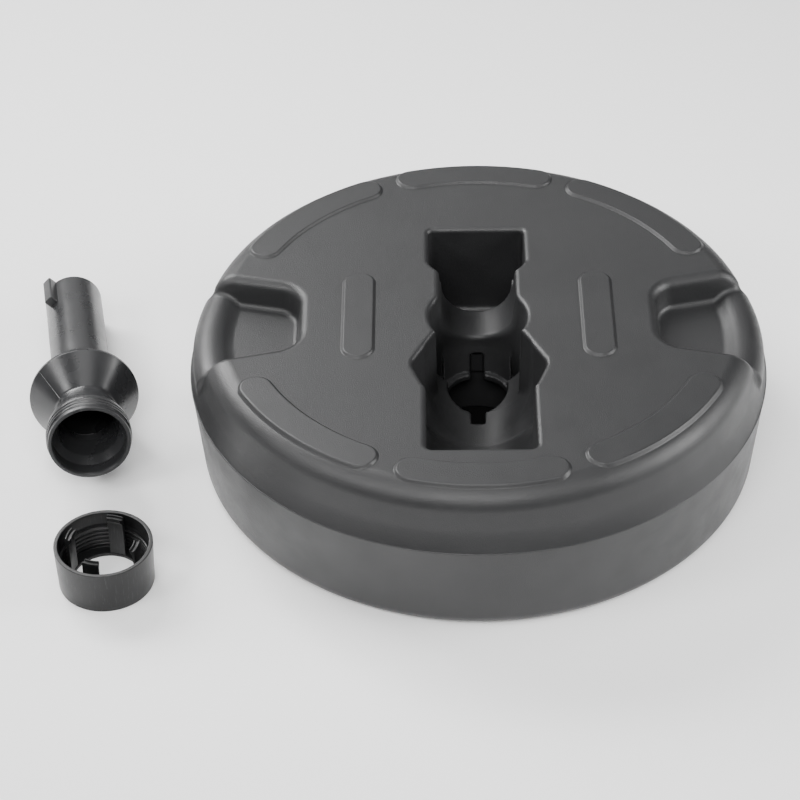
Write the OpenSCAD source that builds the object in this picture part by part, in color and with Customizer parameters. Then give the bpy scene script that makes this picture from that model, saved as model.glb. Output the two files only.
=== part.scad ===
// Fillable parasol base: a hollow ballast tank with a storage cradle and a keyed socket, a
// pole holder that locks in the socket by a quarter turn, and a clamp ring that grips the pole.
// Z is up and +Y is the back. The origin is on the ground, on the tank's axis. Lengths are mm.

/* [Tank] */
// Widest diameter, at the parting line
tank_d = 500; // [480:1:520]
// Height of the top plane above the ground
tank_h = 138; // [134:1:146]
// Height of the parting line
parting_z = 87; // [84:1:92]
// Moulded wall thickness
wall = 3; // [2:0.5:4]
// Radius of the rounded top rim
rim_round = 14; // [10:1:16]
// Radius of the bottom corner
foot_round = 12; // [8:1:14]
// Height of the raised pads
pad_h = 2.2; // [1:0.1:3]

/* [Cradle and socket] */
// Height of the cradle floor
floor_z = 50; // [46:1:56]
// Radius of the round well in the middle
well_r = 42; // [40:0.5:44]
// Radius of the keyed hole
socket_r = 26.5; // [26.3:0.1:28]
// Thickness of the fused floor around the keyed hole
socket_t = 6; // [5:0.5:8]
// Width of each keyway
keyway_w = 12; // [11.5:0.5:14]
// Reach of each keyway from the axis
keyway_r = 38; // [36:0.5:40]

/* [Grip pockets] */
// Depth of the pocket floor below the top plane
grip_depth = 24.5; // [20:0.5:28]
// Depth of the grip bar below the top plane
bar_depth = 16; // [12:0.5:18]

/* [Filler] */
// Radius of the filler hole
filler_r = 16; // [14:0.5:18]
// Height of the filler above the ground
filler_z = 60; // [54:1:62]
// Height of one turn of the cap's thread
filler_pitch = 4; // [3:0.5:4.5]

/* [Pole holder] */
// Outer radius of the shank
shank_r = 26; // [25.5:0.1:26.2]
// Radius of the pole bore
bore_r = 23; // [20:0.5:23.5]
// Largest radius of the double cone
flange_r = 48; // [44:0.5:52]
// Length from the lug end to the double cone's edge
shank_len = 170; // [150:1:190]
// Length from the double cone's edge to the lip
mouth_len = 76; // [70:1:90]
// Reach of each bayonet lug from the axis
lug_r = 34; // [32:0.5:36]
// Width of each bayonet lug
lug_w = 11; // [9:0.5:11]
// Length of each bayonet lug
lug_len = 40; // [30:1:42]
// Angle of the lugs above the ground as the holder lies
lug_angle = 47; // [30:1:50]
// Direction that the mouth points in, from +X
holder_yaw = -80.5; // [-100:0.5:-70]
// Place of the double cone's edge, left of the tank's axis
holder_x = -347; // [-360:1:-345]
// Place of the double cone's edge, behind the tank's axis
holder_y = 4; // [-20:1:30]

/* [Clamp ring] */
// Outer radius at the open end
ring_r = 41.5; // [41.5:0.1:43]
// Height of the ring
ring_h = 41; // [38:0.5:44]
// Radius of the opening in the flange
ring_open_r = 28.5; // [27:0.1:28.6]
// Height of the finger tips
finger_z = 45; // [42:0.5:48]
// Angle that each finger covers
finger_span = 27; // [20:1:34]
// Turn of the first finger from +X
finger_turn = 75; // [60:1:90]
// Place of the ring, left of the tank's axis
ring_x = -314.5; // [-320:0.5:-310]
// Place of the ring, in front of the tank's axis
ring_y = -181; // [-190:1:-178]

/* [Hidden] */
$fn = 96;
over = 1;

tank_r = tank_d / 2;
tank_top_r = tank_r - 13;
foot_r = tank_r - 7;
flare_w = 5.5;
flare_h = 9;

pad_mid_r = 211;
pad_half_w = 14;
side_pad_x = 102.7;
side_pad_half_w = 13.35;
side_pad_half_len = 59.3;

head_half_w = 43.6;
head_y0 = 76;
head_y1 = 125;
saddle_r = 31;
saddle_axis_z = tank_h - 25;
saddle_half_w = 33;
trough_r = 45;
trough_half_w = 45.5;
trough_axis_z = floor_z + 3 + trough_r;
trough_y0 = -178;
trough_y1 = -30;
flare_floor_z = floor_z + 15;
under_well_z = floor_z - socket_t;

grip_x0 = 152;
grip_half_w0 = 39;
grip_half_w1 = 63;
grip_floor_r = 212.3;

filler_seat_y = tank_r - 17;
filler_seat_r = 30;
neck_len = 18;
neck_wall = 3;
thread_gap = 0.4;
gasket_t = 1.6;
gasket_w = 5.5;
gasket_gap = 0.2;
cap_r = 24;
cap_t = 6;
cap_bar = [34, 6, 4];

holder_wall = 3;
thread_pitch = 4.2;
thread_depth = 1.8;
thread_clear = 0.3;
holder_turns = 5;
holder_thread_r = 37.6;
collet_r = 32;
collet_depth = 14;
lug_reach = lug_r * sin(lug_angle) + lug_w / 2 * cos(lug_angle);
holder_tilt = atan((flange_r - lug_reach) / shank_len);

ring_turns = 5;
ring_flange_t = 3;
ring_bore_r = holder_thread_r + thread_clear;
ring_taper = 1.4;
finger_gap = 0.4;
finger_in_r = ring_open_r + 0.3;
finger_out_r = finger_in_r + 2.6;
finger_hook = 2.8;

function arc(centre, r, a0, a1, steps) =
    [for (i = [0:steps]) let (a = a0 + (a1 - a0) * i / steps)
        centre + r * [cos(a), sin(a)]];

// Half outline of the tank, moved inwards by inset
function tank_outline(inset) = concat(
    [[0, inset]],
    arc([foot_r - foot_round, foot_round], foot_round - inset, -90, 0, 6),
    [[tank_r - inset, parting_z - 0.5],
     [tank_r - inset, parting_z + 0.5],
     [tank_r - flare_w - inset, parting_z + flare_h]],
    arc([tank_top_r - rim_round, tank_h - rim_round], rim_round - inset, 0, 90, 6),
    [[0, tank_h - inset]]);

// Trapezoid threads between two radii, going up from z0
function threads(root, crest, z0, turns, pitch) =
    [for (i = [0:turns - 1]) each
        [[root, z0 + i * pitch],
         [crest, z0 + (i + 0.3) * pitch],
         [crest, z0 + (i + 0.5) * pitch],
         [root, z0 + (i + 0.8) * pitch]]];

function reversed(list) = [for (i = [len(list) - 1:-1:0]) list[i]];

module tank_body(inset) {
    rotate_extrude() polygon(tank_outline(inset));
}

// A pad that follows the rim, with round ends
module arc_pad(middle, half_span) {
    sweep = half_span - asin(pad_half_w / pad_mid_r);
    ends = [middle - sweep, middle + sweep];
    polygon(concat(
        arc([0, 0], pad_mid_r + pad_half_w, ends[0], ends[1], 12),
        arc(pad_mid_r * [cos(ends[1]), sin(ends[1])], pad_half_w,
            ends[1] + 20, ends[1] + 160, 7),
        arc([0, 0], pad_mid_r - pad_half_w, ends[1], ends[0], 12),
        arc(pad_mid_r * [cos(ends[0]), sin(ends[0])], pad_half_w,
            ends[0] + 200, ends[0] + 340, 7)));
}

// A straight pad beside the cradle, with round ends
module side_pad(x) {
    run = side_pad_half_len - side_pad_half_w;
    polygon(concat(
        arc([x, run], side_pad_half_w, 0, 180, 9),
        arc([x, -run], side_pad_half_w, 180, 360, 9)));
}

module pads() {
    translate([0, 0, tank_h - wall])
        linear_extrude(height = wall + pad_h) {
            for (middle = [45, 135, 225, 315])
                arc_pad(middle, 21);
            for (middle = [90, 270])
                arc_pad(middle, 19.3);
            for (side = [-1, 1])
                side_pad(side * side_pad_x);
        }
}

// A round channel along Y that is open upwards
module channel(r, axis_z, half_w, y0, y1) {
    translate([0, y0, axis_z])
        rotate([-90, 0, 0])
            cylinder(r = r, h = y1 - y0);
    translate([-half_w, y0, axis_z])
        cube([2 * half_w, y1 - y0, tank_h + over - axis_z]);
}

// The cradle's space, with its walls moved outwards by grow
module cradle_space(grow) {
    translate([-head_half_w - grow, head_y0 - grow, floor_z - grow])
        cube([2 * (head_half_w + grow), head_y1 - head_y0 + 2 * grow, tank_h]);
    channel(saddle_r + grow, saddle_axis_z, saddle_half_w + grow, 0, head_y0 + over);
    translate([0, 0, floor_z - grow])
        cylinder(r = well_r + grow, h = tank_h);
    channel(trough_r + grow, trough_axis_z, trough_half_w + grow, trough_y0 - grow, trough_y1);
    translate([0, 0, flare_floor_z - grow])
        linear_extrude(height = tank_h)
            for (side = [-1, 1])
                polygon([[0, -23 + grow], [side * (37 + grow), -23 + grow],
                         [side * (57.7 + grow), -65], [side * (46 + grow), -97 - grow],
                         [0, -97 - grow]]);
}

// The keyed hole, and the well below it in which the lugs turn
module socket_space() {
    translate([0, 0, under_well_z - over])
        cylinder(r = socket_r, h = socket_t + 2 * over);
    translate([-keyway_w / 2, -keyway_r, under_well_z - over])
        cube([keyway_w, 2 * keyway_r, socket_t + 2 * over]);
    translate([0, 0, -over])
        cylinder(r = well_r, h = under_well_z + over);
}

// The space of one grip pocket: a tapered pocket, less the round bar at its mouth
module grip_space(grow) {
    bar_r = grip_floor_r + grow;
    bar_z = tank_h - bar_depth - grow;
    difference() {
        translate([0, 0, tank_h - grip_depth - grow])
            linear_extrude(height = grip_depth + grow + pad_h + over)
                polygon([[grip_x0 - grow, -grip_half_w0 - grow],
                         [grip_x0 - grow, grip_half_w0 + grow],
                         [tank_r + over, grip_half_w1 + grow],
                         [tank_r + over, -grip_half_w1 - grow]]);
        rotate_extrude()
            polygon([[bar_r, floor_z],
                     [bar_r, tank_h - grip_depth - grow],
                     [bar_r + 4, bar_z - 5.5],
                     [bar_r + 9, bar_z - 3],
                     [bar_r + 17, bar_z - 0.8],
                     [bar_r + 22, bar_z],
                     [tank_r + 2 * over, bar_z - 4],
                     [tank_r + 2 * over, floor_z]]);
    }
}

module along_filler(y) {
    translate([0, y, filler_z])
        rotate([-90, 0, 0])
            children();
}

module tank_cavity() {
    difference() {
        tank_body(wall);
        cradle_space(wall);
        cylinder(r = well_r + wall + over, h = tank_h);
        grip_space(wall);
        mirror([1, 0, 0])
            grip_space(wall);
        along_filler(filler_seat_y - wall)
            cylinder(r = filler_seat_r + wall, h = tank_r);
        along_filler(filler_seat_y - neck_len)
            cylinder(r = filler_r + neck_wall, h = neck_len);
    }
}

module tank() {
    color("#54565a")
        difference() {
            union() {
                tank_body(0);
                pads();
            }
            cradle_space(0);
            socket_space();
            grip_space(0);
            mirror([1, 0, 0])
                grip_space(0);
            along_filler(filler_seat_y)
                cylinder(r = filler_seat_r, h = tank_r);
            along_filler(filler_seat_y - neck_len - over)
                cylinder(r = filler_r, h = neck_len + 2 * over);
            tank_cavity();
        }
}

module filler_gasket() {
    color("#202022")
        along_filler(filler_seat_y + gasket_gap)
            rotate_extrude()
                translate([filler_r, 0])
                    square([gasket_w, gasket_t]);
}

module filler_cap() {
    stem_r = filler_r - thread_gap;
    root_r = stem_r - 1.4;
    stem_len = neck_len - 3;
    head_y = filler_seat_y + 2 * gasket_gap + gasket_t;
    color("#3c3d40") {
        along_filler(head_y)
            rotate_extrude()
                polygon(concat(
                    [[0, -3], [root_r - 2, -3], [root_r - 2, -stem_len], [root_r, -stem_len]],
                    threads(root_r, stem_r, 1 - stem_len, 3, filler_pitch),
                    [[root_r, 0], [cap_r, 0], [cap_r, cap_t - 1], [cap_r - 1, cap_t],
                     [0, cap_t]]));
        along_filler(head_y + cap_t - over)
            translate([-cap_bar[0] / 2, -cap_bar[1] / 2, 0])
                cube([cap_bar[0], cap_bar[1], cap_bar[2] + over]);
    }
}

// Lays a part that was drawn along Z down as the holder lies, on its cone and one lug
module lay_holder() {
    translate([holder_x, holder_y, flange_r * cos(holder_tilt)])
        rotate([0, 90 - holder_tilt, holder_yaw])
            translate([0, 0, -shank_len])
                children();
}

module holder_tube() {
    lip = shank_len + mouth_len;
    waist = shank_len + 28;
    thread_root = holder_thread_r - thread_depth;
    thread_z = lip - 5 - holder_turns * thread_pitch;
    outer = concat(
        [[shank_r, 0], [shank_r, shank_len - 38], [flange_r - 1.5, shank_len - 2],
         [flange_r, shank_len], [flange_r - 1.5, shank_len + 2],
         [shank_r + 0.5, waist], [shank_r + 0.5, waist + 5],
         [thread_root, thread_z - 2]],
        threads(thread_root, holder_thread_r, thread_z, holder_turns, thread_pitch),
        [[thread_root, lip - 1], [thread_root - 1, lip]]);
    inner = [[collet_r, lip], [collet_r, lip - collet_depth],
             [collet_r - 5, lip - collet_depth - 8], [bore_r, waist + 8],
             [bore_r, waist - 2], [flange_r - holder_wall - 1, shank_len],
             [bore_r, shank_len - 36], [bore_r, 0]];
    color("#6a6c70")
        lay_holder()
            union() {
                rotate_extrude()
                    polygon(concat(outer, inner));
                rotate([0, 0, 90 - lug_angle])
                    for (side = [0, 180])
                        rotate([0, 0, side])
                            translate([bore_r + 1, -lug_w / 2, 0])
                                cube([lug_r - bore_r - 1, lug_w, lug_len]);
            }
}

module clamp_ring() {
    crest = ring_bore_r - thread_depth;
    foot = ring_r - ring_taper;
    outer = [[foot - 0.8, 0], [foot, 0.8], [ring_r, ring_h - 0.8],
             [ring_r - 0.8, ring_h], [ring_bore_r + 0.6, ring_h],
             [ring_bore_r, ring_h - 0.6]];
    inner = concat(
        reversed(threads(ring_bore_r, crest, ring_flange_t + 1, ring_turns, thread_pitch)),
        [[ring_bore_r, ring_flange_t], [ring_open_r, ring_flange_t], [ring_open_r, 0]]);
    color("#4a4b4f")
        translate([ring_x, ring_y, 0])
            rotate_extrude()
                polygon(concat(outer, inner));
}

// One gripping finger, with its hooked tip towards the pole
module clamp_finger(number) {
    base_z = ring_flange_t + finger_gap;
    hook_r = finger_in_r - finger_hook;
    color("#4a4b4f")
        translate([ring_x, ring_y, 0])
            rotate([0, 0, finger_turn + 90 * (number - 1) - finger_span / 2])
                rotate_extrude(angle = finger_span)
                    polygon([[finger_in_r, base_z], [finger_out_r, base_z],
                             [finger_out_r, finger_z - 1], [finger_out_r - 1, finger_z],
                             [hook_r + 1, finger_z], [hook_r, finger_z - 1],
                             [hook_r, finger_z - 3.5], [finger_in_r, finger_z - 7]]);
}

tank();
filler_gasket();
filler_cap();
holder_tube();
clamp_ring();
clamp_finger(1);  // clamp_finger_1
clamp_finger(2);  // clamp_finger_2
clamp_finger(3);  // clamp_finger_3
clamp_finger(4);  // clamp_finger_4
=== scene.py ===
import math

import bmesh
import bpy
import numpy as np
from mathutils import Matrix, Vector


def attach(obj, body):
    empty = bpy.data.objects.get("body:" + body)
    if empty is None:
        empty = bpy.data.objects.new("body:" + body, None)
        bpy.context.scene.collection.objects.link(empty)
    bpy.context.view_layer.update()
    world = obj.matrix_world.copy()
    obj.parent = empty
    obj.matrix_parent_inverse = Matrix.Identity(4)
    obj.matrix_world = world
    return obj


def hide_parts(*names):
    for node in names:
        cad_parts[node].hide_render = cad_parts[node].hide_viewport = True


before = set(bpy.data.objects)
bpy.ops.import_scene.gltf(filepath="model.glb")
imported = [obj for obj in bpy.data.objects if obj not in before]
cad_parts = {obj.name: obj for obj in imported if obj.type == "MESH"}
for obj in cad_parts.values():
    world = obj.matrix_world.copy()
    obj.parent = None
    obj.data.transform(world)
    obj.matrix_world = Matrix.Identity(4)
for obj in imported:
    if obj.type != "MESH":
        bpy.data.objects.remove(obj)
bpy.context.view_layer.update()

# Lengths are in millimetres in the CAD frame, and become metres as each mesh is made
MM = 0.001
CELL = 2

# Tank
TANK_R = 249.7
SEAM_R = 250
FOOT_R = 243
SHOULDER_R = 244.5
TOP_R = 239
TOP_Z = 138
RIM_ROUND = 17
FOOT_ROUND = 12
SEAM_Z = 87
SEAM_ROUND = 0.3
SHOULDER_Z = 96
SHOULDER_ROUND = 3
UNDER_ROUND = 2

# Raised pads: six that follow the rim and two straight ones
PAD_H = 2.2
PAD_EDGE = 1.5
PAD_SINK = 1.2
RIM_PAD_R = 211
RIM_PAD_HALF_W = 14
CORNER_PAD_HALF_SPAN = 21
END_PAD_HALF_SPAN = 19.3
SIDE_PAD_X = 102.7
SIDE_PAD_HALF_W = 13.35
SIDE_PAD_HALF_LEN = 59.3

# Cradle and socket
CRADLE_EDGE = 4
CRADLE_DRAFT = 0.035
FLOOR_Z = 50
HEAD_HALF_W = 42.6
HEAD_BACK = 125
HEAD_FRONT = 76
HEAD_CORNER = 5
HEAD_FLOOR_ROUND = 6
NECK_HALF_W = 34.5
NECK_BACK = 66
NECK_FLOOR = 118
NECK_ROUND = 3
NECK_REACH = 12
SADDLE_R = 31
SADDLE_Z = 113
SADDLE_DRAFT = 0.1
SADDLE_HALF_LEN = 40
WELL_R = 42
WELL_DRAFT = 0.03
WELL_OPEN_Y = 8
BLOCK_HALF_W = 30
BLOCK_R = 32
BLOCK_DRAFT = 0.3
BLOCK_ROUND = 1.5
TROUGH_R = 45
TROUGH_Z = 95
TROUGH_FRONT = -177
TROUGH_BACK = 5
TROUGH_DIP = 6
TROUGH_DRAFT = 0.01
TROUGH_END_ROUND = 6

# The double cone's seat: half widths at distances in front of the axis, turned about a level axis
FLARE_AXIS_Z = 99
FLARE_START = (37, 23)
FLARE_WIDEST = (57.7, 65)
FLARE_END = (46, 97)
FLARE_ROUND = 4

# Keyed hole
SOCKET_R = 26.5
SOCKET_T = 6
KEY_HALF_W = 6
KEY_REACH = 38.5
KEY_TOP = 65
KEY_CUT = 3

# Grip pockets
GRIP_FLOOR = 113.5
GRIP_FLOOR_ROUND = 4
GRIP_MID_X = 178
GRIP_HALF_W = 46.5
GRIP_WIDENING = 0.238
GRIP_DRAFT = 0.26
GRIP_STEEPNESS = 1.06
GRIP_END_X = 153
GRIP_END_DRAFT = 0.12
GRIP_END_ROUND = 17
GRIP_BAR_R = 229.5
GRIP_BAR_Z = 104
GRIP_BAR_ROUND = 17.3
GRIP_BAR_INSET = 3
GRIP_BAR_BLEND = 4
GRIP_EDGE = 7

# Filler
FILLER_Z = 60
FILLER_SEAT_Y = 233
FILLER_SEAT_R = 30
FILLER_R = 16
FILLER_NECK_DEPTH = 18
GASKET_W = 5.5
SEAM_GAP = 18
CAP_R = 24
CAP_T = 6
CAP_BASE = 2
CAP_SKIRT = 15
CAP_GRIP = (34, 6, 5)
CAP_KNURLS = 40

# Pole holder, drawn along Z from its lug end
SHANK_R = 26
BORE_R = 23
FLANGE_R = 48
FLANGE_S = 170
WAIST_S = 198
LIP_S = 246
COLLET_R = 32
LUG_R = 34
LUG_W = 9.5
LUG_LEN = 37
LUG_ANGLE = 47
HOLDER_SEAM_ANGLE = math.radians(-130)
HOLDER_AT = (-347, 4)
HOLDER_YAW = -80.5
PITCH = 4.2
HOLDER_TURNS = 4
RING_TURNS = 6
HOLDER_THREAD_R = 37.6
THREAD_DEPTH = 1.8

# Clamp ring
RING_AT = (-314.5, -181)
RING_R = 41.5
RING_FOOT_R = 40.1
RING_H = 41
RING_BORE_R = 37.9
RING_OPEN_R = 28.5
RING_FLANGE_T = 3
FINGER_IN_R = 28.8
FINGER_OUT_R = 31.4
FINGER_HOOK_R = 26
FINGER_BASE_Z = 3.4
FINGER_Z = 45
FINGER_SPAN = 27
FINGER_TURN = 75


# Materials

def moulded_plastic(name, colour, roughness, grain, depth, mottle=0.12, shine=0.5, streaks=None):
    """Satin moulded plastic: slow colour mottling, uneven gloss and a fine moulded grain."""
    material = bpy.data.materials.new(name)
    material.use_nodes = True
    nodes, links = material.node_tree.nodes, material.node_tree.links
    shader = nodes["Principled BSDF"]
    shader.inputs["IOR"].default_value = 1.5
    shader.inputs["Specular IOR Level"].default_value = shine
    place = nodes.new("ShaderNodeTexCoord")

    def noise(scale, detail, lift):
        texture = nodes.new("ShaderNodeTexNoise")
        texture.inputs["Scale"].default_value = scale
        texture.inputs["Detail"].default_value = detail
        texture.inputs["Roughness"].default_value = lift
        links.new(place.outputs["Object"], texture.inputs["Vector"])
        return texture

    def ramp(source, low, high):
        spread = nodes.new("ShaderNodeMapRange")
        spread.inputs["From Min"].default_value = 0.3
        spread.inputs["From Max"].default_value = 0.7
        spread.inputs["To Min"].default_value = low
        spread.inputs["To Max"].default_value = high
        links.new(source, spread.inputs["Value"])
        return spread.outputs["Result"]

    clouds = noise(9, 3, 0.5)
    speckle = noise(420, 2, 0.6)
    tint = nodes.new("ShaderNodeMix")
    tint.data_type = "RGBA"
    tint.inputs["A"].default_value = (*(c * (1 - mottle) for c in colour), 1)
    tint.inputs["B"].default_value = (*(c * (1 + mottle) for c in colour), 1)
    blend = nodes.new("ShaderNodeMath")
    blend.operation = "MULTIPLY_ADD"
    blend.inputs[1].default_value = 0.45
    links.new(ramp(clouds.outputs["Fac"], 0, 0.55), blend.inputs[2])
    links.new(speckle.outputs["Fac"], blend.inputs[0])
    links.new(blend.outputs["Value"], tint.inputs["Factor"])
    links.new(tint.outputs["Result"], shader.inputs["Base Color"])

    gloss = noise(38, 4, 0.55)
    links.new(ramp(gloss.outputs["Fac"], roughness - 0.05, roughness + 0.06), shader.inputs["Roughness"])

    fine = noise(grain, 3, 0.6)
    bump = nodes.new("ShaderNodeBump")
    bump.inputs["Strength"].default_value = 0.5
    bump.inputs["Distance"].default_value = depth
    links.new(fine.outputs["Fac"], bump.inputs["Height"])
    links.new(bump.outputs["Normal"], shader.inputs["Normal"])
    if streaks:
        wear = noise(150, 4, 0.7)
        stretch = nodes.new("ShaderNodeMapping")
        stretch.inputs["Scale"].default_value = streaks
        links.new(place.outputs["Object"], stretch.inputs["Vector"])
        links.new(stretch.outputs["Vector"], wear.inputs["Vector"])
        lines = nodes.new("ShaderNodeBump")
        lines.inputs["Strength"].default_value = 0.12
        lines.inputs["Distance"].default_value = depth
        links.new(wear.outputs["Fac"], lines.inputs["Height"])
        links.new(bump.outputs["Normal"], lines.inputs["Normal"])
        links.new(lines.outputs["Normal"], shader.inputs["Normal"])
        worn = nodes.new("ShaderNodeMapRange")
        worn.inputs["From Min"].default_value = 0.57
        worn.inputs["From Max"].default_value = 0.74
        worn.inputs["To Max"].default_value = 0.8
        links.new(wear.outputs["Fac"], worn.inputs["Value"])
        rubbed = nodes.new("ShaderNodeMix")
        rubbed.data_type = "RGBA"
        rubbed.inputs["B"].default_value = (*(6 * c for c in colour), 1)
        links.new(tint.outputs["Result"], rubbed.inputs["A"])
        links.new(worn.outputs["Result"], rubbed.inputs["Factor"])
        links.new(rubbed.outputs["Result"], shader.inputs["Base Color"])
    return material


# Meshes

def smooth_mesh(name, points, faces):
    """A smooth-shaded mesh from points in millimetres and quads or other faces."""
    mesh = bpy.data.meshes.new(name)
    if isinstance(faces, np.ndarray):
        mesh.vertices.add(len(points))
        mesh.vertices.foreach_set("co", (np.asarray(points, np.float32) * MM).ravel())
        mesh.loops.add(faces.size)
        mesh.loops.foreach_set("vertex_index", faces.astype(np.int32).ravel())
        mesh.polygons.add(len(faces))
        mesh.polygons.foreach_set("loop_start", np.arange(0, faces.size, 4, dtype=np.int32))
        mesh.update(calc_edges=True)
    else:
        mesh.from_pydata([[v * MM for v in p] for p in points], [], faces)
    mesh.validate()
    mesh.shade_smooth()
    return mesh


def add_piece(mesh, material, body, nodes):
    """The mesh as a piece that moves with a CAD body and stands for CAD nodes."""
    piece = bpy.data.objects.new(mesh.name, mesh)
    bpy.context.scene.collection.objects.link(piece)
    mesh.materials.append(material)
    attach(piece, body)
    if nodes:
        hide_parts(*nodes)
    return piece


def tidy(mesh):
    """Merges doubled points, turns faces outwards and shades them smooth."""
    work = bmesh.new()
    work.from_mesh(mesh)
    bmesh.ops.remove_doubles(work, verts=work.verts, dist=1e-6)
    bmesh.ops.recalc_face_normals(work, faces=work.faces)
    work.to_mesh(mesh)
    work.free()
    mesh.shade_smooth()
    return mesh


def weigh_normals(piece):
    """Keeps large flat faces evenly shaded beside small round ones."""
    modifier = piece.modifiers.new("even shading", "WEIGHTED_NORMAL")
    modifier.keep_sharp = True
    modifier.weight = 80
    return piece


def soften(corners, steps=5):
    """A closed outline in which each corner (x, y, radius) is rounded."""
    path = []
    for i, (x, y, radius) in enumerate(corners):
        here = Vector((x, y))
        back = Vector(corners[i - 1][:2]) - here
        ahead = Vector(corners[(i + 1) % len(corners)][:2]) - here
        if radius == 0:
            path.append(here)
            continue
        turn = math.pi - back.angle(ahead)
        reach = min(radius * math.tan(turn / 2), 0.45 * back.length, 0.45 * ahead.length)
        start = here + back.normalized() * reach
        end = here + ahead.normalized() * reach
        for step in range(steps + 1):
            t = step / steps
            path.append(start.lerp(here, t).lerp(here.lerp(end, t), t))
    return path


def sweep(name, outline, turns=160, shape=None, matrix=None):
    """A closed outline of (radius, height) swept about Z.

    shape(angle, radius, height), where given, is added to the radius.
    """
    ring = np.array([tuple(p) for p in outline])
    angle = np.linspace(0, 2 * math.pi, turns, endpoint=False)[:, None]
    radius = np.repeat(ring[None, :, 0], turns, axis=0)
    height = np.repeat(ring[None, :, 1], turns, axis=0)
    if shape is not None:
        radius = radius + shape(angle, radius, height)
    points = np.stack((radius * np.cos(angle), radius * np.sin(angle), height), axis=-1).reshape(-1, 3)
    index = np.arange(len(points)).reshape(turns, len(ring))
    ahead = np.roll(index, -1, axis=0)
    faces = np.stack((index, ahead, np.roll(ahead, -1, axis=1), np.roll(index, -1, axis=1)), axis=-1)
    mesh = smooth_mesh(name, points, faces.reshape(-1, 4))
    if matrix is not None:
        mesh.transform(matrix)
    return tidy(mesh)


def block(size, radius):
    """A box of that size with rounded edges, centred on the origin, as a bmesh."""
    work = bmesh.new()
    bmesh.ops.create_cube(work, size=1)
    bmesh.ops.scale(work, vec=[v * MM for v in size], verts=work.verts)
    bmesh.ops.bevel(work, geom=work.edges, offset=radius * MM, segments=4, profile=0.5, affect="EDGES")
    return work


def join_block(mesh, size, radius, matrix):
    """Adds a rounded block to the mesh."""
    work = block(size, radius)
    work.transform(matrix)
    work.from_mesh(mesh)
    bmesh.ops.recalc_face_normals(work, faces=work.faces)
    work.to_mesh(mesh)
    work.free()
    mesh.shade_smooth()
    return mesh


def shift(x, y, z):
    return Matrix.Translation((x * MM, y * MM, z * MM))


def thread(angle, height, start, turns, hand=1):
    """Height of a helical ridge, from 0 at its root to 1 at its crest."""
    turn = ((height - start) / PITCH - hand * angle / (2 * math.pi)) % 1
    ridge = np.clip((0.4 - np.abs(turn - 0.4)) / 0.22, 0, 1)
    runs_in = np.clip((height - start) / PITCH, 0, 1)
    runs_out = np.clip((start + turns * PITCH - height) / PITCH, 0, 1)
    return ridge * ridge * (3 - 2 * ridge) * runs_in * runs_out


# Distance fields in millimetres, negative inside

def round_and(a, b, radius):
    """Inside both, with the edge rounded."""
    past = np.sqrt(np.maximum(a + radius, 0) ** 2 + np.maximum(b + radius, 0) ** 2)
    return np.minimum(np.maximum(a, b), -radius) + past


def round_or(a, b, radius):
    """Inside either, with the corner filled."""
    return -round_and(-a, -b, radius)


def beyond_line(u, v, start, end):
    """Distance to the right of a line that runs from start to end in the direction of v."""
    du, dv = end[0] - start[0], end[1] - start[1]
    return ((u - start[0]) * dv - (v - start[1]) * du) / math.hypot(du, dv)


def tank_skin(x, y, z):
    """The outside of the tank: two tapered halves that meet at the mould seam."""
    r = np.hypot(x, y)
    lower = beyond_line(r, z, (FOOT_R, FOOT_ROUND), (TANK_R, SEAM_Z))
    shoulder = beyond_line(r, z, (TANK_R, SEAM_Z), (SHOULDER_R, SHOULDER_Z))
    upper = beyond_line(r, z, (SHOULDER_R, SHOULDER_Z), (TOP_R, TOP_Z - RIM_ROUND))
    side = round_and(lower, round_or(shoulder, upper, SHOULDER_ROUND), SEAM_ROUND)
    return round_and(round_and(side, z - TOP_Z, RIM_ROUND), -z, FOOT_ROUND)


def half_pipe(x, z, radius, axis_z, draft):
    """A round channel along Y with open, nearly upright sides."""
    above = np.maximum(z - axis_z, 0)
    return np.hypot(x, np.minimum(z - axis_z, 0)) - radius - draft * above


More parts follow.
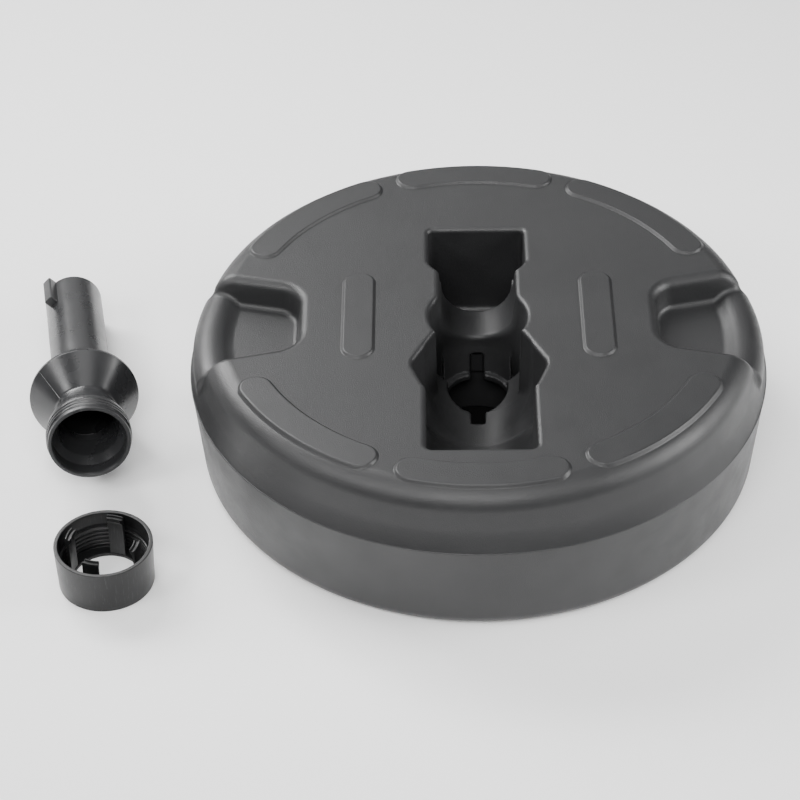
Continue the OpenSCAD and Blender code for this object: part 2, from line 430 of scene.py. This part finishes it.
def cradle(x, y, z):
    """The storage cradle in the top, from the T-shaped head at the back to the trough at the front."""
    side, front = np.abs(x), -y
    depth = TOP_Z - z
    drafted = CRADLE_DRAFT * depth

    head = round_and(side - HEAD_HALF_W, y - HEAD_BACK, HEAD_CORNER)
    head = round_and(head, HEAD_FRONT - y, NECK_ROUND) + drafted
    head = round_and(head, FLOOR_Z - z, HEAD_FLOOR_ROUND)
    taper = beyond_line(side, front, (HEAD_HALF_W, -HEAD_FRONT), (NECK_HALF_W, -NECK_BACK))
    taper = round_and(side - HEAD_HALF_W, taper, NECK_ROUND)
    taper = np.maximum(taper, np.abs(y - HEAD_FRONT) - NECK_REACH) + drafted
    head = np.minimum(head, round_and(taper, NECK_FLOOR - z, NECK_ROUND))

    saddle = half_pipe(x, z, SADDLE_R, SADDLE_Z, SADDLE_DRAFT)
    saddle = round_and(saddle, np.abs(y - SADDLE_HALF_LEN) - SADDLE_HALF_LEN, 0)

    dip = TROUGH_DIP * np.clip((front - SOCKET_R) / (FLARE_WIDEST[1] - SOCKET_R), 0, 1)
    sunk = TROUGH_Z + (z - TROUGH_Z) * TROUGH_R / (TROUGH_R + dip)
    pipe = half_pipe(x, sunk, TROUGH_R, TROUGH_Z, TROUGH_DRAFT)
    well = np.hypot(x, y) - WELL_R + WELL_DRAFT * depth
    block_r = BLOCK_R + BLOCK_DRAFT * (z - FLOOR_Z)
    block = np.maximum(side - BLOCK_HALF_W, -y)
    block = round_and(block, block_r - np.hypot(x, y), BLOCK_ROUND)
    well = round_and(well, -block, BLOCK_ROUND)
    well = np.maximum(well, round_or(pipe, round_and(FLOOR_Z - z, WELL_OPEN_Y - y, 2), 1))

    flare_side = beyond_line(side, front, FLARE_START, FLARE_WIDEST)
    trough = round_and(pipe, front + TROUGH_FRONT + 2 * drafted, TROUGH_END_ROUND)
    trough = round_and(np.maximum(trough, y - TROUGH_BACK), flare_side, 2)

    away = np.hypot(x, np.minimum(z - FLARE_AXIS_Z, 0))
    opening = beyond_line(away, front, FLARE_START, FLARE_WIDEST)
    closing = beyond_line(away, front, FLARE_WIDEST, FLARE_END)
    flare = round_and(opening, closing, FLARE_ROUND)
    flare = round_and(flare, FLARE_START[1] - front, 1)
    flare = round_and(flare, front - FLARE_END[1], FLARE_ROUND) + drafted

    space = round_or(saddle, np.minimum(well, trough), 4)
    space = round_or(head, space, 1)
    return round_or(space, flare, 2)


def grip_side(x, y, z):
    """The space between the two sloping side walls of each grip pocket."""
    out = np.abs(y) - GRIP_HALF_W - GRIP_WIDENING * (np.abs(x) - GRIP_MID_X)
    return (out + GRIP_DRAFT * (TOP_Z - z)) / GRIP_STEEPNESS


def grip_pocket(x, y, z):
    """A pocket on each side that runs out through the rim."""
    end = GRIP_END_X - np.abs(x) + GRIP_END_DRAFT * (TOP_Z - z)
    return round_and(round_and(grip_side(x, y, z), end, GRIP_END_ROUND), GRIP_FLOOR - z, GRIP_FLOOR_ROUND)


def grip_bar(x, y, z):
    """A round bar along the mouth of each pocket."""
    bar = np.hypot(np.hypot(x, y) - GRIP_BAR_R, z - GRIP_BAR_Z) - GRIP_BAR_ROUND
    bar = round_and(bar, grip_side(x, y, z) - GRIP_BAR_INSET, 2)
    return np.maximum(bar, GRIP_END_X - np.abs(x))


def keyed_hole(x, y, z):
    """The hole with two keyways through the fused floor."""
    bore = np.hypot(x, y) - SOCKET_R
    key = np.maximum(np.abs(x) - KEY_HALF_W, np.abs(y) - KEY_REACH)
    key = np.maximum(key, z - KEY_TOP)
    hole = np.minimum(np.maximum(bore, z - TROUGH_Z), key)
    return np.maximum(hole, FLOOR_Z - SOCKET_T - KEY_CUT - z)


def filler_recess(x, y, z):
    """The round seat of the filler cap in the back wall, and its neck."""
    away = np.hypot(x, z - FILLER_Z)
    seat = np.maximum(away - FILLER_SEAT_R, FILLER_SEAT_Y - y)
    neck = np.maximum(away - FILLER_R, FILLER_SEAT_Y - FILLER_NECK_DEPTH - y)
    return np.minimum(seat, neck)


def tank_field(x, y, z):
    """The whole tank, with its cradle, pockets, hole, under-well and filler seat cut out."""
    solid = tank_skin(x, y, z)
    solid = round_and(solid, -cradle(x, y, z), CRADLE_EDGE)
    solid = round_and(solid, -grip_pocket(x, y, z), GRIP_EDGE)
    solid = round_or(solid, grip_bar(x, y, z), GRIP_BAR_BLEND)
    under = np.maximum(np.hypot(x, y) - WELL_R, z - FLOOR_Z + SOCKET_T)
    solid = round_and(solid, -under, UNDER_ROUND)
    solid = round_and(solid, -keyed_hole(x, y, z), 1)
    return round_and(solid, -filler_recess(x, y, z), 1.5)


def surface_net(field, low, high, cell):
    """Points and quads where the field crosses zero, with one point per cell that it passes through."""
    axes = [np.arange(a, b + cell, cell) for a, b in zip(low, high)]
    grid = np.empty([len(a) for a in axes], np.float32)
    for start in range(0, len(axes[0]), 16):
        rows = axes[0][start:start + 16]
        grid[start:start + 16] = field(rows[:, None, None], axes[1][None, :, None], axes[2][None, None, :])

    corners = [(i, j, k) for i in (0, 1) for j in (0, 1) for k in (0, 1)]
    size = [n - 1 for n in grid.shape]
    inside = grid < 0
    count = np.zeros(size, np.int8)
    for i, j, k in corners:
        count += inside[i:i + size[0], j:j + size[1], k:k + size[2]]
    cells = np.argwhere((count > 0) & (count < 8))
    number = np.full(size, -1, np.int64)
    number[tuple(cells.T)] = np.arange(len(cells))

    total = np.zeros((len(cells), 3))
    crossings = np.zeros(len(cells))
    for axis in range(3):
        for corner in corners:
            if corner[axis]:
                continue
            first = cells + corner
            second = first.copy()
            second[:, axis] += 1
            a, b = grid[tuple(first.T)], grid[tuple(second.T)]
            hit = (a < 0) != (b < 0)
            part = np.zeros(len(cells))
            part[hit] = a[hit] / (a[hit] - b[hit])
            spot = np.array(corner) + part[:, None] * np.eye(3)[axis]
            total[hit] += spot[hit]
            crossings[hit] += 1
    points = np.array(low) + cell * (cells + total / crossings[:, None])

    quads = []
    for axis in range(3):
        b, c = (axis + 1) % 3, (axis + 2) % 3
        first = [slice(None)] * 3
        second = [slice(None)] * 3
        first[axis], second[axis] = slice(None, -1), slice(1, None)
        edges = np.argwhere(inside[tuple(first)] != inside[tuple(second)])
        edges = edges[(edges[:, b] > 0) & (edges[:, c] > 0)]
        around = []
        for db, dc in ((1, 1), (0, 1), (0, 0), (1, 0)):
            at = edges.copy()
            at[:, b] -= db
            at[:, c] -= dc
            around.append(number[tuple(at.T)])
        faces = np.stack(around, axis=-1)
        leaving = inside[tuple(edges.T)]
        faces[~leaving] = faces[~leaving][:, ::-1]
        quads.append(faces)
    return points, np.concatenate(quads)


def slope(field, points):
    """Unit normals of the field and its slope at the points."""
    step = 0.05
    found = np.empty_like(points)
    for axis in range(3):
        nudge = np.eye(3)[axis] * step
        found[:, axis] = (field(*(points + nudge).T) - field(*(points - nudge).T)) / (2 * step)
    size = np.maximum(np.linalg.norm(found, axis=1, keepdims=True), 1e-6)
    return found / size, size[:, 0]


def field_mesh(name, field, low, high, cell):
    """A mesh on the surface where the field is zero, shaded with the field's own normals."""
    points, faces = surface_net(field, low, high, cell)
    for _ in range(3):
        normals, size = slope(field, points)
        move = np.clip(field(*points.T) / size, -cell / 2, cell / 2)
        points = points - normals * move[:, None]
    normals, size = slope(field, points)
    mesh = smooth_mesh(name, points, faces)
    mesh.normals_split_custom_set_from_vertices(normals.astype(np.float32))
    return mesh


# Pieces

def tank(material):
    """The tank's skin, and the thin bead of its mould seam, which ends beside the filler."""
    cell = CELL
    mesh = field_mesh("tank", tank_field, (-251.3, -251.3, -1.3), (251.3, 251.3, 140), cell)
    add_piece(mesh, material, "tank", ["tank"])
    bead = [(TANK_R - 1, SEAM_Z - 0.9, 0), (TANK_R - 0.1, SEAM_Z - 0.4, 0), (SEAM_R, SEAM_Z - 0.1, 0),
            (SEAM_R, SEAM_Z + 0.3, 0), (TANK_R - 0.3, SEAM_Z + 0.6, 0), (TANK_R - 1, SEAM_Z + 0.9, 0)]

    def sink(angle, radius, height):
        across = TANK_R * np.cos(angle)
        beside_filler = (np.abs(across) < SEAM_GAP) & (np.sin(angle) > 0)
        return np.where(beside_filler, -1.2, 0)

    seam = sweep("tank_seam", soften(bead), turns=720, shape=sink)
    add_piece(seam, material, "tank", [])


def arc_outline(middle, half_span, mid_r, half_w):
    """Outline points and outward directions of a band that follows the rim, with round ends."""
    sweep_angle = math.radians(half_span) - math.asin(half_w / mid_r)
    steps, cap_steps = 40, 14
    path = []
    for side, end in ((1, 1), (-1, -1)):
        for i in range(steps):
            a = math.radians(middle) + side * sweep_angle * (2 * i / steps - 1)
            outward = Vector((math.cos(a), math.sin(a))) * side
            path.append((Vector((math.cos(a), math.sin(a))) * (mid_r + side * half_w), outward))
        a_end = math.radians(middle) + end * sweep_angle
        centre = Vector((math.cos(a_end), math.sin(a_end))) * mid_r
        for i in range(cap_steps):
            turn = (a_end if end > 0 else a_end + math.pi) + math.pi * i / cap_steps
            outward = Vector((math.cos(turn), math.sin(turn)))
            path.append((centre + outward * half_w, outward))
    return path


def straight_outline(x, half_w, half_len):
    """Outline points and outward directions of a band along Y, with round ends."""
    path = []
    for side in (1, -1):
        for i in range(25):
            turn = math.pi * i / 24 + (0 if side > 0 else math.pi)
            outward = Vector((math.cos(turn), math.sin(turn)))
            path.append((Vector((x, side * (half_len - half_w))) + outward * half_w, outward))
    return path


def rim_height(r):
    """The height of the tank's skin at a radius, on the top or on the rim's rounding."""
    inside, outside = TOP_Z - RIM_ROUND, TOP_Z + 1
    for _ in range(24):
        middle = (inside + outside) / 2
        if tank_skin(r, 0, middle) < 0:
            inside = middle
        else:
            outside = middle
    return inside


def pad(name, outline, material):
    """A raised pad whose edge rises in a soft step."""
    points, faces = [], []
    levels = [(PAD_EDGE + 0.3, -PAD_SINK)]
    for i in range(9):
        t = i / 8
        levels.append((PAD_EDGE * (1 - 2 * t), PAD_H * t * t * (3 - 2 * t) - 0.03))
    levels.append((-PAD_EDGE - 1, PAD_H - 0.03))
    for offset, rise in levels:
        for place, outward in outline:
            spot = place + outward * offset
            points.append((spot.x, spot.y, rim_height(spot.length) + rise))
    count = len(outline)
    for level in range(len(levels) - 1):
        for i in range(count):
            a, b = level * count + i, level * count + (i + 1) % count
            faces.append((a, b, b + count, a + count))
    faces.append(tuple(range((len(levels) - 1) * count, len(levels) * count)))
    mesh = tidy(smooth_mesh(name, points, faces))
    weigh_normals(add_piece(mesh, material, "tank", []))


def pads(material):
    spans = [(middle, CORNER_PAD_HALF_SPAN) for middle in (45, 135, 225, 315)]
    spans += [(middle, END_PAD_HALF_SPAN) for middle in (90, 270)]
    for middle, half_span in spans:
        outline = arc_outline(middle, half_span, RIM_PAD_R, RIM_PAD_HALF_W)
        pad(f"pad_{middle}", outline, material)
    for name, x in (("pad_left", -SIDE_PAD_X), ("pad_right", SIDE_PAD_X)):
        pad(name, straight_outline(x, SIDE_PAD_HALF_W, SIDE_PAD_HALF_LEN), material)


def filler(cap_material, gasket_material):
    """The filler's gasket and its screw cap, drawn along Z and laid along the filler's axis."""
    along = shift(0, FILLER_SEAT_Y, FILLER_Z) @ Matrix.Rotation(math.radians(-90), 4, "X")
    outer = FILLER_R + GASKET_W
    ring = [(FILLER_R, 0.2, 0.5), (FILLER_R, 1.8, 0.5), (outer, 1.8, 0.7), (outer, 0.2, 0.7)]
    gasket = sweep("filler_gasket", soften(ring), turns=96, matrix=along)
    weigh_normals(add_piece(gasket, gasket_material, "filler_gasket", ["filler_gasket"]))

    face, foot = CAP_BASE + CAP_T, CAP_BASE - CAP_SKIRT
    outline = [(0.01, face - 0.6, 0), (CAP_R - 7, face - 0.6, 1), (CAP_R - 6, face, 1),
               (CAP_R, face, 1.4), (CAP_R, CAP_BASE, 0.6), (FILLER_R - 1, CAP_BASE, 0.5),
               (FILLER_R - 1, foot, 0.8), (FILLER_R - 4, foot, 0.6), (FILLER_R - 4, CAP_BASE - 3, 1),
               (0.01, CAP_BASE - 3, 0)]

    def knurl(angle, radius, height):
        return np.where(radius > CAP_R - 0.5, 0.35 * (np.cos(CAP_KNURLS * angle) - 1), 0)

    cap = sweep("filler_cap", soften(outline), turns=240, shape=knurl, matrix=along)
    join_block(cap, CAP_GRIP, 1.5, along @ shift(0, 0, face + 1.5))
    weigh_normals(add_piece(cap, cap_material, "filler_cap", ["filler_cap"]))


def raised_line(name, path, angle, radius, matrix):
    """A thin round bead along (radius, height) points at one angle about Z."""
    around = [2 * math.pi * i / 8 for i in range(8)]
    points = []
    for r, s in path:
        for turn in around:
            side, rise = radius * math.cos(turn), radius * math.sin(turn)
            points.append(((r + rise) * math.cos(angle) - side * math.sin(angle),
                           (r + rise) * math.sin(angle) + side * math.cos(angle), s))
    faces = [tuple(range(8)), tuple(range(8 * (len(path) - 1), 8 * len(path)))]
    for step in range(len(path) - 1):
        for i in range(8):
            a, b = 8 * step + i, 8 * step + (i + 1) % 8
            faces.append((a, b, b + 8, a + 8))
    mesh = smooth_mesh(name, points, faces)
    mesh.transform(matrix)
    return tidy(mesh)


def holder(material):
    """The pole holder, which lies on its double cone and on a lug."""
    lug_turn = math.radians(LUG_ANGLE)
    lug_reach = LUG_R * math.sin(lug_turn) + LUG_W / 2 * math.cos(lug_turn)
    tilt = math.atan((FLANGE_R - lug_reach) / FLANGE_S)
    lay = (shift(*HOLDER_AT, FLANGE_R * math.cos(tilt))
           @ Matrix.Rotation(math.radians(HOLDER_YAW), 4, "Z")
           @ Matrix.Rotation(math.radians(90) - tilt, 4, "Y")
           @ shift(0, 0, -FLANGE_S))
    root = HOLDER_THREAD_R - THREAD_DEPTH
    thread_s = LIP_S - 2 - HOLDER_TURNS * PITCH
    rows = [(root, s, 0) for s in np.arange(thread_s - 1, LIP_S - 1.5, 0.3)]
    outline = [(SHANK_R, 0, 1), (SHANK_R, FLANGE_S - 38, 10), (FLANGE_R - 0.4, FLANGE_S - 3, 1),
               (FLANGE_R, FLANGE_S + 0.5, 1),
               (SHANK_R + 1, WAIST_S, 7), (SHANK_R + 2, WAIST_S + 6, 12),
               (root, thread_s - 2, 3), *rows,
               (root, LIP_S - 0.2, 0.8), (COLLET_R + 1, LIP_S - 0.2, 0.4),
               (COLLET_R, LIP_S - 2, 0.4), (COLLET_R, LIP_S - 14, 1),
               (COLLET_R - 5, LIP_S - 22, 2), (BORE_R, WAIST_S + 8, 4), (BORE_R, WAIST_S - 2, 6),
               (FLANGE_R - 4, FLANGE_S, 6), (BORE_R, FLANGE_S - 36, 6), (BORE_R, 0, 1)]

    def raise_thread(angle, radius, height):
        outer = (radius > root - 0.1) & (height > thread_s - 1)
        return np.where(outer, 0.7 * THREAD_DEPTH * thread(angle, height, thread_s, HOLDER_TURNS), 0)

    mesh = sweep("holder_tube", soften(outline), turns=200, shape=raise_thread)
    for side in (0, math.pi):
        turn = Matrix.Rotation(math.radians(90 - LUG_ANGLE) + side, 4, "Z")
        middle = (BORE_R + 1 + LUG_R) / 2
        join_block(mesh, (LUG_R - BORE_R - 1, LUG_W, LUG_LEN), 1.6, turn @ shift(middle, 0, LUG_LEN / 2))
    mesh.transform(lay)
    weigh_normals(add_piece(mesh, material, "holder_tube", ["holder_tube"]))
    seam = [(FLANGE_R - 0.6, FLANGE_S + 1), (SHANK_R + 1.6, WAIST_S), (SHANK_R + 2.5, WAIST_S + 6)]
    line = raised_line("holder_seam", seam, HOLDER_SEAM_ANGLE, 0.45, lay)
    add_piece(line, material, "holder_tube", [])


def clamp_ring(material):
    """The clamp ring, with its flange at the foot and its thread inside."""
    thread_z = RING_FLANGE_T + 1
    rows = [(RING_BORE_R, z, 0) for z in np.arange(RING_H - 3, RING_FLANGE_T + 1, -0.3)]
    outline = [(RING_FOOT_R, 0, 1.2), (RING_R, RING_H, 0.7), (RING_BORE_R, RING_H, 0.8), *rows,
               (RING_BORE_R, RING_FLANGE_T, 0.6), (RING_OPEN_R, RING_FLANGE_T, 0.7), (RING_OPEN_R, 0, 0.7)]

    def raise_thread(angle, radius, height):
        on_bore = (radius < RING_BORE_R + 0.1) & (radius > RING_BORE_R - 0.2)
        inner = on_bore & (height > RING_FLANGE_T + 0.5)
        return np.where(inner, -THREAD_DEPTH * thread(angle, height, thread_z, RING_TURNS), 0)

    mesh = sweep("clamp_ring", soften(outline), turns=200, shape=raise_thread, matrix=shift(*RING_AT, 0))
    weigh_normals(add_piece(mesh, material, "clamp_ring", ["clamp_ring"]))


def clamp_finger(number, material):
    """One gripping finger, with a double-ridged hook at its tip."""
    outline = soften([
        (FINGER_IN_R, FINGER_BASE_Z, 0.4), (FINGER_OUT_R, FINGER_BASE_Z, 0.4), (FINGER_OUT_R, FINGER_Z, 0.6),
        (FINGER_OUT_R - 1.3, FINGER_Z, 0.5), (FINGER_OUT_R - 1.6, FINGER_Z - 1.8, 0.6),
        (FINGER_HOOK_R + 1.6, FINGER_Z - 1.8, 0.6), (FINGER_HOOK_R + 1.3, FINGER_Z, 0.5),
        (FINGER_HOOK_R, FINGER_Z, 0.6), (FINGER_HOOK_R, FINGER_Z - 3.5, 0.8),
        (FINGER_IN_R, FINGER_Z - 7, 2)], 3)
    steps = 14
    first = math.radians(FINGER_TURN + 90 * (number - 1) - FINGER_SPAN / 2)
    points, faces = [], []
    for step in range(steps + 1):
        angle = first + math.radians(FINGER_SPAN) * step / steps
        for radius, height in outline:
            points.append((radius * math.cos(angle), radius * math.sin(angle), height))
    count = len(outline)
    for step in range(steps):
        for i in range(count):
            a, b = step * count + i, step * count + (i + 1) % count
            faces.append((a, b, b + count, a + count))
    faces.append(tuple(range(count)))
    faces.append(tuple(range(steps * count, (steps + 1) * count)))
    name = f"clamp_finger_{number}"
    mesh = smooth_mesh(name, points, faces)
    mesh.transform(shift(*RING_AT, 0))
    piece = add_piece(tidy(mesh), material, name, [name])
    edge = piece.modifiers.new("rounded ends", "BEVEL")
    edge.width = 0.5 * MM
    edge.segments = 2
    edge.angle_limit = math.radians(50)
    weigh_normals(piece)


# Stage

def floor():
    """A pale, faintly glowing floor with a painted shadow: its colour and glow fall to nearly black under
    the tank.
    """
    mesh = bpy.data.meshes.new("floor")
    half = 6.0
    corners = [(-half, -half, 0), (half, -half, 0), (half, half, 0), (-half, half, 0)]
    mesh.from_pydata(corners, [], [(0, 1, 2, 3)])
    ground = bpy.data.objects.new("floor", mesh)
    bpy.context.scene.collection.objects.link(ground)
    material = bpy.data.materials.new("floor_paper")
    material.use_nodes = True
    shader = material.node_tree.nodes["Principled BSDF"]
    nodes, links = material.node_tree.nodes, material.node_tree.links
    shader.inputs["Roughness"].default_value = 0.9
    shader.inputs["Specular IOR Level"].default_value = 0.1
    place = nodes.new("ShaderNodeTexCoord")
    away = nodes.new("ShaderNodeVectorMath")
    away.operation = "LENGTH"
    links.new(place.outputs["Object"], away.inputs[0])
    # Painted shadow: the floor's colour, and the glow that follows it, fall from 0.93 to 0.002 within 0.2 m
    # of the centre, under the tank
    shade = nodes.new("ShaderNodeMapRange")
    shade.inputs["From Min"].default_value = 0.05
    shade.inputs["From Max"].default_value = 0.2
    shade.inputs["To Min"].default_value = 0.002
    shade.inputs["To Max"].default_value = 0.93
    links.new(away.outputs["Value"], shade.inputs["Value"])
    links.new(shade.outputs["Result"], shader.inputs["Base Color"])
    links.new(shade.outputs["Result"], shader.inputs["Emission Color"])
    shader.inputs["Emission Strength"].default_value = 0.2
    mesh.materials.append(material)


def area_light(name, place, size, power):
    """A softbox in metres and watts that faces the parasol base."""
    lamp = bpy.data.lights.new(name, "AREA")
    lamp.shape = "RECTANGLE"
    lamp.size, lamp.size_y = size
    lamp.energy = power
    lamp.spread = math.radians(100)
    light = bpy.data.objects.new(name, lamp)
    light.location = place
    light.rotation_euler = (Vector((-0.05, 0, 0.1)) - Vector(place)).to_track_quat("-Z", "Y").to_euler()
    bpy.context.scene.collection.objects.link(light)


def studio():
    """A dim white surround and seven softboxes."""
    world = bpy.data.worlds.new("studio")
    world.use_nodes = True
    world.node_tree.nodes["Background"].inputs["Color"].default_value = (1, 1, 1, 1)
    world.node_tree.nodes["Background"].inputs["Strength"].default_value = 0.03
    bpy.context.scene.world = world
    area_light("left_back", (-1.5, 1.2, 1.3), (1.2, 0.8), 18)
    area_light("left", (-1.75, -0.85, 1.65), (0.8, 0.6), 7)
    area_light("left_high", (-0.85, 1.25, 1.75), (0.5, 0.5), 6)
    area_light("right", (1.9, -0.2, 1.0), (1.2, 0.8), 15)
    area_light("front_top", (-0.2, -1.7, 2.1), (1.6, 0.9), 17)
    area_light("top", (0, 0, 2.4), (1.6, 1.4), 6)
    area_light("back", (-0.1, 2.2, 1.3), (2.5, 1.0), 3)


def camera():
    """The camera of the photograph: its place, height, heading and slight roll."""
    height, heading, roll = 0.68596, 0.01569, -0.018667
    level = math.cos(height)
    back = Vector((math.sin(heading) * level, -math.cos(heading) * level, math.sin(height)))
    right = (-back).cross(Vector((0, 0, 1))).normalized()
    up = right.cross(-back)
    across = right * math.cos(roll) + up * math.sin(roll)
    upward = up * math.cos(roll) - right * math.sin(roll)
    lens = bpy.data.cameras.new("camera")
    lens.sensor_width = 36
    lens.lens = 120.82
    eye = bpy.data.objects.new("camera", lens)
    turn = Matrix((across, upward, back)).transposed().to_4x4()
    eye.matrix_world = Matrix.Translation((-0.03955, -1.83149, 1.54294)) @ turn
    bpy.context.scene.collection.objects.link(eye)
    bpy.context.scene.camera = eye


def build():
    # Each has its colour, roughness, grain's scale and grain's depth in metres
    tank_plastic = moulded_plastic("tank_plastic", (0.019, 0.0192, 0.02), 0.41, 1100, 0.0005)
    holder_plastic = moulded_plastic("holder_plastic", (0.024, 0.0243, 0.0255), 0.29, 900, 0.0001)
    ring_plastic = moulded_plastic("ring_plastic", (0.008, 0.0081, 0.0085), 0.36, 900, 0.0001, shine=0.38,
                                  streaks=(6, 6, 0.4))
    cap_plastic = moulded_plastic("cap_plastic", (0.015, 0.015, 0.0155), 0.4, 900, 0.00015)
    gasket_rubber = moulded_plastic("gasket_rubber", (0.012, 0.012, 0.012), 0.6, 700, 0.0001)
    tank(tank_plastic)
    pads(tank_plastic)
    filler(cap_plastic, gasket_rubber)
    holder(holder_plastic)
    clamp_ring(ring_plastic)
    for number in (1, 2, 3, 4):
        clamp_finger(number, ring_plastic)


build()
floor()
studio()
camera()
